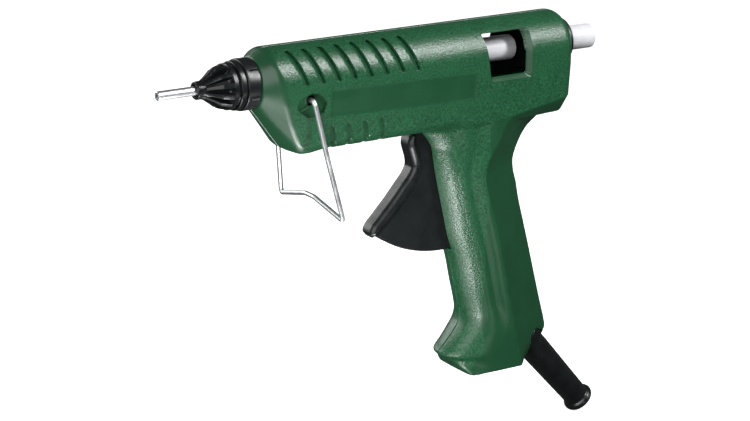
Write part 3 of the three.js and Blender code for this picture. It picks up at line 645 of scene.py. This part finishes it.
def windowField(x, z, depth):
    w = window
    t = np.clip(depth / shell["wall"], 0, 1)
    lean = w["lean"] * (w["high"] - z) / (w["high"] - w["low"])
    ins = w["inset"]
    d = both((w["front"] + lean - x) * w["square"] + ins[0] * t, x - w["rear"] + ins[1] * t, w["r"])
    return both(d, both(w["low"] - z + ins[2] * t, z - w["high"] + ins[3] * t, w["r"]), w["r"])


def alongSleeve(x, z):
    dx, dz = x - sleeve["at"][0], z - sleeve["at"][1]
    ux, uz = sleeve["along"]
    return dx * ux + dz * uz, dx * -uz + dz * ux


slotArc = arc(*trigger["pivot"], trigger["r"] + triggerSlot["clear"], *triggerSlot["turn"], 8)
slotOutline = ([(triggerSlot["front"], triggerSlot["top"]), (triggerSlot["front"], slotArc[0][1])] + slotArc
               + [(slotArc[-1][0], triggerSlot["rearLow"]), (triggerSlot["rear"], triggerSlot["top"])])


def overlap(*fields):
    # inside of all of them
    out = fields[0]
    for f in fields[1:]:
        out = np.maximum(out, f)
    return out


def bossField(x, v, z):
    # bosses, saddles, rings and rails on the inside
    k, rad = inside, np.hypot(v, z)
    f = np.full(x.shape, away)
    for sx, sz in screws:
        f = np.minimum(f, np.hypot(x - sx, z - sz) - k["screwBoss"])
    for sx, sz in clampScrews:
        f = np.minimum(f, np.hypot(x - sx, z - sz) - k["clampBoss"])
    gap = np.maximum(v - k["saddleGap"][0], z - k["saddleGap"][1])
    for sx in k["saddles"]:
        thick = np.abs(x - sx) - k["saddleHalf"]
        f = np.minimum(f, overlap(thick, k["saddleBore"] - rad, k["saddleLow"] - z, -gap))
    for sx, half, bore in k["rings"]:
        f = np.minimum(f, overlap(np.abs(x - sx) - half, bore - rad, k["ringLow"] - z))
    for low in k["rails"]:
        rail = np.abs(z - low - k["railHigh"]) - k["railHigh"]
        f = np.minimum(f, overlap(np.abs(x - k["railAt"]) - k["railHalf"], k["railFrom"] - v, rail))
    px, pz = trigger["pivot"]
    return np.minimum(f, overlap(np.hypot(x - px, z - pz) - k["hub"], k["hubFrom"] - v))


def cutField(x, v, z, outer, side):
    # bores, slot, screw holes and window
    k, rad = cuts, np.hypot(v, z)
    s, t = alongSleeve(x, z)
    cord = np.hypot(t, v)
    px, pz = trigger["pivot"]
    holes = [overlap(rad - k["noseBore"], x - k["noseTo"]), overlap(rad - k["rearBore"], k["rearFrom"] - x),
             overlap(outline(x, z, slotOutline), v - triggerSlot["half"]),
             np.hypot(x - pivot["at"][0], z - pivot["at"][1]) - pivot["hole"],
             overlap(cord - k["cord"], k["cordFrom"] - s, s - k["cordTo"]),
             overlap(cord - k["flange"], np.abs(s - k["flangeAt"]) - k["flangeHalf"]),
             overlap(np.hypot(x - px, z - pz) - k["pin"], v - k["pinTo"]),
             overlap(windowField(x, z, -outer), k["windowFrom"] - v)]
    for sx, sz in screws:
        r = np.hypot(x - sx, z - sz)
        if side > 0:
            holes += [overlap(r - k["shank"], v - k["shankTo"]), overlap(r - k["head"], k["headFrom"] - v)]
        else:
            holes.append(overlap(r - k["shank"], v - k["blindTo"]))
    return np.minimum.reduce(holes)


def shellField(side):
    def field(x, y, z):
        v = y * side
        outer = outerField(x, v, z)
        dent, _ = grooveField(x, v, z)
        panel = label["depth"] * (1 - ease(-0.9, 0.1, labelField(x, z)))
        skin = outer + np.maximum(dent, panel * (v > 8))
        skin = np.maximum(skin, -both(fanField(x, z), fanFloor(x, z) - v, 0.15))
        skin = np.maximum(skin, np.minimum(0, skin) + shell["split"] - v)
        skin = np.maximum(skin, (skin + shell["split"] + shell["seamBevel"] - v) * math.sqrt(0.5))
        inner = overlap(bossField(x, v, z), outer + inside["skin"], shell["split"] - v)
        f = np.maximum(skin, -np.maximum(outer + shell["wall"], -inner))
        return np.maximum(f, -cutField(x, v, z, outer, side))
    return field


def grainOf(points):
    # 1 where the tool was spark eroded, 0 where it was polished
    x, v, z = points[:, 0], np.abs(points[:, 1]), points[:, 2]
    _, cone = barrelField(x, v, z)
    keep = np.where(x < 90, ease(-0.4, -1.6, cone), 1)
    grip = (z < -20) & (x > gripForm["reaches"][0])
    if grip.any():
        widest = curve(z[grip], gripTable[:, 0], gripTable[:, 2])
        keep[grip] *= np.where(z[grip] < -34, 1 - ease(-0.5, 0.1, x[grip] - widest), 1)
        line = np.interp(z[grip], smoothFoot["z"], smoothFoot["x"])
        keep[grip] *= np.where(z[grip] < -118, 1 - ease(-0.3, 0.5, x[grip] - line), 1)
    keep *= np.where((z < -20) & (x > 160), ease(-0.12, -0.5, slantField(x, v, z)), 1)
    keep *= ease(-0.4, 0.2, labelField(x, z))
    keep *= ease(-0.2, 0.3, fanField(x, z))
    keep *= ease(0.0, 0.35, windowField(x, z, np.zeros(len(x))))
    _, grooves = grooveField(x, v, z)
    keep *= 0.25 + 0.75 * ease(-0.9, 0.1, grooves)
    depth = -outerField(x, v, z)
    return np.where(depth > 1.6, 0, keep)


def buildShell(name, side):
    y0, y1 = sorted((-0.2 * side, 17.1 * side))
    step = shell["step"]
    points, faces = carve(shellField(side), (43.6, y0, -150.2), (206.2, y1, 15.6), step)
    piece = meshPiece(name, points, faces, greenAbs, sharp=38)
    grain = piece.data.attributes.new("grain", "FLOAT", "POINT")
    grain.data.foreach_set("value", grainOf(points).astype(np.float32))
    x, y, z = points.T
    # inner faces deep in the shell round the window take the black material: painted shade
    dark = (-outerField(x, y, z) > insideShadeZone["depth"]) & (x > insideShadeZone["rearOf"]) & (z > insideShadeZone["above"])
    piece.data.materials.append(shellInsideShade)
    piece.data.polygons.foreach_set("material_index", [int(all(dark[i] for i in face)) for face in faces])
    print(name, len(points), "points")
    return piece


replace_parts(buildShell("shellLeft", -1), "housing_left")
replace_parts(buildShell("shellRight", 1), "housing_right")


# trigger: a rounded finger rib on a thin plate, with a hub and an arm that reaches up to the carriage
triggerFace = [(125.0, -32.6), (123.9, -35), (123.4, -38), (124.2, -41), (125.3, -44.4), (125.7, -48),
               (124.3, -51), (120.5, -55.4), (114.8, -62), (108.2, -68.8), (104.1, -73.6), (103.7, -75.6),
               (105.2, -77.6)]
triggerBack = [(108.4, -76), (113.4, -71.6), (119.8, -65.4), (126, -58), (129.6, -52), (130.2, -47.4),
               (129.2, -42.6), (127.4, -38.6), (126.8, -35), (127.8, -32.6)]


def densify(points, n):
    # smooth line through the points, n steps between neighbours
    p = np.array(points, float)
    s = np.r_[0, np.cumsum(np.linalg.norm(np.diff(p, axis=0), axis=1))]
    spans = [np.linspace(s0, s1, n, endpoint=False) for s0, s1 in zip(s, s[1:])]
    at = np.concatenate(spans + [s[-1:]])
    return np.stack([curve(at, s, p[:, k]) for k in range(p.shape[1])], 1)


ribOutline = [tuple(p) for p in densify(triggerFace, 3)] + [tuple(p) for p in densify(triggerBack, 3)]
plateFront = [(126.0, -32.6), (124.6, -36), (125.4, -41), (126.8, -48), (121.5, -55.4), (110.2, -68.8),
              (105.9, -75.6)]
plateRear = [(153.4, -60), (150.4, -40), (147, -30), (143.5, -25.6), (140, -27.6), (134, -29.4)]
plateOutline = plateFront + arc(*trigger["pivot"], trigger["r"], 231, 279, 24) + plateRear


def triggerField(x, y, z):
    t, v = trigger, np.abs(y)
    dx, dz = x - t["pivot"][0], z - t["pivot"][1]
    lean = math.radians(t["lean"])
    up, across = dx * math.sin(lean) + dz * math.cos(lean), dx * math.cos(lean) - dz * math.sin(lean)
    rib = both(outline(x, z, ribOutline), v - t["rib"], t["ribR"])
    plate = both(outline(x, z, plateOutline), v - t["plate"], t["plateR"])
    hub = both(np.hypot(dx, dz) - t["hub"], v - t["hubHalf"], t["hubR"])
    arm = overlap(np.abs(across) - t["armHalf"] + t["armTaper"] * up, -up, up - t["arm"])
    arm = both(arm, v - t["plate"], t["armR"])
    armTip = both(np.hypot(across, up - t["arm"]) - t["armTip"], v - t["plate"], t["armR"])
    f = np.minimum.reduce([either(rib, plate, t["blend"]), hub, arm, armTip])
    return np.maximum(f, t["bore"] - np.hypot(dx, dz))


points, faces = carve(triggerField, (102.6, -5.8, -90.4), (154.6, 5.8, -7.6), 0.5)
meshPiece("fingerTrigger", points, faces, glossNylon, body="trigger",
          stands=["trigger"])
print("trigger made")


# nozzle: a needle that swells to a shoulder, with the melt bore through it
nozzle = dict(
    profile=[(49.2, 2.4), (24, 1.3), (0, 0.9), (0, 2), (19, 2), (20.5, 2.6), (27, 4.6), (33.5, 5.6),
             (36.5, 5.6), (36.5, 4), (49.2, 4), (49.2, 2.4)],
    corners=[0, 0, 0.1, 0.45, 0.3, 0.3, 0.5, 0.3, 0.3, 0.2, 0.3, 0])
points, faces = turned(rounded(nozzle["profile"], nozzle["corners"])[:-1], 48)
tidyEnds(meshPiece("needleNozzle", points, faces, turnedAluminium,
                   stands=["nozzle"]))

# cap: its fins stand on a slimmer cone and run into the rim
cap = dict(fins=12, finEdge=(0.30, 0.20), rimRise=(30.2, 31.8), scallop=1.6, finned=99,
           fin=([20.3, 21.5, 24.2, 27.3, 29.5, 31.8], [3.9, 4.3, 6.1, 8.5, 9.2, 9.7]),
           between=([20.3, 21.5, 26, 31.8], [3.9, 3.95, 5.2, 7.4]),
           front=[(19, 2.4), (17.8, 2.5), (17.8, 3.9), (20.3, 3.9)], frontCorners=[0, 0.1, 0.5, 0],
           rear=[(32, 10), (34, 10), (34, 9.2), (34.8, 9.2), (34.8, 10.6), (37.4, 10.6), (37.4, 6.4),
                 (33.2, 6.4), (26.6, 5.2), (26.4, 3.6), (20.2, 3.1), (19, 2.4)],
           rearCorners=[0, 0.4, 0.15, 0.15, 0.5, 0.4, 0.2, 0.2, 0, 0, 0, 0])


def capRelief(s, a, r):
    turn = np.abs((a * cap["fins"] / (2 * math.pi)) % 1 - 0.5)
    fin = np.maximum(ease(*cap["finEdge"], turn), ease(*cap["rimRise"], s - cap["scallop"] * turn))
    low = np.interp(s, *cap["between"])
    return np.where(r == cap["finned"], low + (np.interp(s, *cap["fin"]) - low) * fin, r)


finned = [(s, cap["finned"]) for s in np.linspace(20.4, 31.8, 30)]
capProfile = rounded(cap["front"], cap["frontCorners"]) + finned
capProfile += rounded(cap["rear"], cap["rearCorners"])[:-1]
points, faces = turned(capProfile, 288, capRelief)
tidyEnds(meshPiece("finnedCap", points, faces, capSilicone, sharp=40,
                   stands=["nozzle_cap"]))

# collar: two bands with a groove between, and six notches round the front one
collar = dict(notches=6, firstNotch=20, notchEdge=(0.072, 0.058), notchFrom=(39.3, 39.7), notchTo=44,
              notchR=10.45,
              profile=[(37.7, 8.2), (37.7, 11.2), (39.3, 11.2), (39.7, 11.2), (43.9, 11.2), (43.9, 9.5),
                       (47.1, 9.5), (47.1, 10.9), (49, 10.9), (49, 8.2), (37.7, 8.2)],
              corners=[0, 0.5, 0, 0, 0.35, 0.2, 0.2, 0.3, 0.3, 0.3, 0])


def collarRelief(s, a, r):
    k = collar
    turn = np.abs(((a - math.radians(k["firstNotch"])) * k["notches"] / (2 * math.pi)) % 1 - 0.5)
    notch = ease(*k["notchEdge"], turn) * ease(*k["notchFrom"], s) * (s < k["notchTo"])
    return np.where(r > k["notchR"], r - notch * (r - k["notchR"]), r)


points, faces = turned(rounded(collar["profile"], collar["corners"])[:-1], 216, collarRelief)
tidyEnds(meshPiece("frontCollar", points, faces, glossNylon, stands=["front_collar"]))

bush = dict(
    profile=[(196, 6.1), (196, 8.4), (206.3, 8.4), (206.3, 10.2), (208.6, 10.2), (208.6, 6.1), (196, 6.1)],
    corners=[0, 0.3, 0.2, 0.4, 0.8, 0.6, 0])
points, faces = turned(rounded(bush["profile"], bush["corners"])[:-1], 72)
tidyEnds(meshPiece("rearBush", points, faces, bushNylon, stands=["rear_bush"]))
print("nozzle end and bush made")

glueStick = dict(r=5.6, rings=64, corners=[0, 0.4, 0.55, 0])
for name, (x0, x1), body, stands in (("stickFront", (78, 179.6), "front_stick", "glue_stick_front"),
                                     ("stickRear", (191.5, 224.8), "rear_stick", "glue_stick_rear")):
    r, rings = glueStick["r"], glueStick["rings"]
    profile = rounded([(x0, 0), (x0, r), (x1, r), (x1, 0)], glueStick["corners"], 6)
    points, faces = turned(profile, rings)
    faces = faces[:-rings]  # the stick is solid, so nothing runs back along its axis
    tidyEnds(meshPiece(name, points, faces, glue, body=body, stands=[stands]))

# wire stand: half of its line, as distance down from the pivot and across
stand = dict(pivot=(65.8, -7.1), lean=10.4, wire=1.1,
             half=[(0, 12.6), (0, 16.3), (1.6, 17.3), (26, 20.7), (50.6, 25.2), (52.7, 24.9), (51.6, 20.6),
                   (47.3, 3.6)],
             bends=[0, 1.6, 1.2, 30, 1.9, 1.9, 6, 7])


def wireLine():
    lean = math.radians(stand["lean"])
    px, pz = stand["pivot"]
    half = [(px + d * math.sin(lean), y, pz - d * math.cos(lean)) for d, y in stand["half"]]
    line = half + [(x, -y, z) for x, y, z in half[::-1]]
    return rounded(line, stand["bends"] + stand["bends"][::-1], 10)


def tube(line, radius, sides=16):
    p = np.array(line, float)
    keep = np.r_[True, np.linalg.norm(np.diff(p, axis=0), axis=1) > 0.02]
    p = p[keep]
    t = np.gradient(p, axis=0)
    t /= np.linalg.norm(t, axis=1, keepdims=True)
    n = np.cross(t[0], [1, 0, 0.3])
    n /= np.linalg.norm(n)
    points, faces = [], []
    for i in range(len(p)):
        n = n - t[i] * (n @ t[i])
        n /= np.linalg.norm(n)
        b = np.cross(t[i], n)
        for k in range(sides):
            a = 2 * math.pi * k / sides
            points.append(p[i] + radius * (n * math.cos(a) + b * math.sin(a)))
    for i in range(len(p) - 1):
        for k in range(sides):
            m = (k + 1) % sides
            faces.append((i * sides + k, i * sides + m, (i + 1) * sides + m, (i + 1) * sides + k))
    faces.append(tuple(range(sides))[::-1])
    faces.append(tuple((len(p) - 1) * sides + k for k in range(sides)))
    return points, faces


points, faces = tube(wireLine(), stand["wire"])
tidyEnds(meshPiece("wireBail", points, faces, plainSteel, sharp=50, body="stand",
                   stands=["wire_stand"]))

spring = dict(turns=5, r=7.7, start=117.9, stop=133.1, wire=0.45, steps=180)
t = np.linspace(0, 1, spring["steps"] + 1)
turn = 2 * math.pi * spring["turns"] * t
line = np.stack([spring["start"] + (spring["stop"] - spring["start"]) * t, spring["r"] * np.cos(turn),
                 spring["r"] * np.sin(turn)], 1)
points, faces = tube(line, spring["wire"], 8)
tidyEnds(meshPiece("returnSpring", points, faces, blueSteel, stands=["return_spring"]))

# cord sleeve: flanged inside the grip, tapering, with a swollen lip at the end that the gun stands on
end = sleeve["length"]
sleeveProfile = [(-11, 4.1), (-11, 8.2), (-6, 8.2), (-6, 6.95), (2, 6.95), (end - 3.4, 6), (end - 2.6, 6.9),
                 (end - 1.3, 7.5), (end, 7.1), (end, 4.9), (end - 1.6, 4.1), (-11, 4.1)]
sleeveCorners = [0, 0.3, 0.3, 0.3, 4, 0.5, 0.9, 1.2, 0.8, 0.6, 0.6, 0]
sleeveProfile = rounded(sleeveProfile, sleeveCorners)[:-1]
(sleeveX, sleeveZ), (ux, uz) = sleeve["at"], sleeve["along"]
points, faces = turned(sleeveProfile, 72, axisAt=(sleeveX, 0, sleeveZ), along=(ux, 0, uz))
tidyEnds(meshPiece("cordSleeve", points, faces, sleevePvc, stands=["cable_sleeve"]))

screw = dict(seat=9.3, length=17, shank=1.15, thread=0.16, pitch=1.1, point=1.6, pointTaper=0.55, head=2.7,
             dome=4.3, domeAt=-2.4, headR=0.2, cross=0.42, arm=1.55, crossDeep=0.9,
             turns=(17, 52, 80, 31, 64))


def screwField(x, u, z):
    # u runs out of the domed, crossed head; a shallow thread winds round the shank to a point
    k, r = screw, np.hypot(x, z)
    head = both(np.hypot(r, u - k["domeAt"]) - k["dome"], both(r - k["head"], -u, k["headR"]), k["headR"])
    thread = k["thread"] * (2 * np.abs((u / k["pitch"] + np.arctan2(z, x) / (2 * math.pi)) % 1 - 0.5) - 0.5)
    point = k["pointTaper"] * np.maximum(0, k["point"] - u - k["length"])
    shank = overlap(r - k["shank"] - thread + point, u - 0.2, -u - k["length"])
    slot = np.minimum(overlap(np.abs(x) - k["cross"], np.abs(z) - k["arm"]),
                      overlap(np.abs(z) - k["cross"], np.abs(x) - k["arm"]))
    return np.maximum(np.minimum(head, shank), -np.maximum(slot, k["crossDeep"] - u))


screwPoints, screwFaces = carve(screwField, (-3, -17.4, -3), (3, 2.3, 3), 0.2)
for i, (sx, sz) in enumerate(screws):
    turn = math.radians(screw["turns"][i])
    c, s = math.cos(turn), math.sin(turn)
    x, u, z = screwPoints.T
    p = np.stack([x * c - z * s + sx, u + screw["seat"], x * s + z * c + sz], 1)
    meshPiece(f"shellScrew{i + 1}", p, screwFaces, zincSteel,
              stands=[f"housing_screw_{i + 1}"])
print("small pieces made")


# floor and light: each lamp is as wide and high as its size says and points at its aim
studio = dict(floor="F4F4F4", fibre="F1F1F1", floorGlow=0.93, floorReach=6.0,
              world="FFFFFF", worldStrength=0.06,
              softbox=dict(at=(-626, -460, 262), size=(900, 900), power=6.9, aim=(110, 0, -60)),
              strip=dict(at=(570, -560, 590), size=(150, 480), power=10, aim=(110, 0, 0)),
              lowPanel=dict(at=(0, -60, -181), size=(170, 150), power=0.25, aim=(0, -60, 0)),
              backFill=dict(at=(-330, 860, 240), size=(800, 600), power=6, aim=(110, 0, -40)),
              frontPanel=dict(at=(186, -262, -182), size=(110, 120), power=0.09, aim=(192, -230, 0)),
              lowSpot=dict(at=(14, -112, -180), size=(70, 80), power=0.45, aim=(40, -40, 0)))
bpy.context.scene.view_settings.view_transform = "Standard"


def areaLight(name, at, size, power, aim):
    data = bpy.data.lights.new(name, "AREA")
    data.shape, data.energy = "RECTANGLE", power
    data.size, data.size_y = size[0] * mm, size[1] * mm
    lamp = bpy.data.objects.new(name, data)
    bpy.context.scene.collection.objects.link(lamp)
    lamp.visible_camera = False
    lamp.location = Vector(row(at))
    lamp.rotation_euler = (Vector(row(aim)) - lamp.location).to_track_quat("-Z", "Y").to_euler()


for name in ("softbox", "strip", "backFill", "lowPanel", "frontPanel", "lowSpot"):
    areaLight(name, **studio[name])

world = bpy.data.worlds.new("studio")
world.use_nodes = True
bpy.context.scene.world = world
surround = world.node_tree.nodes["Background"]
feed(world.node_tree, surround, Color=linear(studio["world"]))
# the room is dim, and only what is seen straight behind the object is white
seen = node(world.node_tree, "ShaderNodeLightPath")
level = node(world.node_tree, "ShaderNodeMapRange", Value=(seen, "Is Camera Ray"),
             To_Min=studio["worldStrength"], To_Max=1.0)
feed(world.node_tree, surround, Strength=(level, 0))

floorMaterial, floorTree, floorWhere, floorShader = blank("matt paper sweep, white")
fibre = node(floorTree, "ShaderNodeTexNoise", Vector=floorWhere, Scale=perMetre(3), Detail=4.0)
paper = ramp(floorTree, (fibre, "Fac"), [(0.3, studio["fibre"]), (0.7, studio["floor"])])
feed(floorTree, floorShader, Base_Color=(paper, 0), Roughness=0.9, Emission_Color=linear(studio["floor"]),
     Emission_Strength=studio["floorGlow"])
floorMesh = bpy.data.meshes.new("floor")
r = studio["floorReach"]
floorMesh.from_pydata([(-r, -r, 0), (r, -r, 0), (r, r, 0), (-r, r, 0)], [], [(0, 1, 2, 3)])
floorMesh.materials.append(floorMaterial)
floorPiece = bpy.data.objects.new("floor", floorMesh)
bpy.context.scene.collection.objects.link(floorPiece)
floorPiece.visible_glossy = floorPiece.visible_diffuse = False  # seen, but the blacks reflect a dark room
print("studio set")
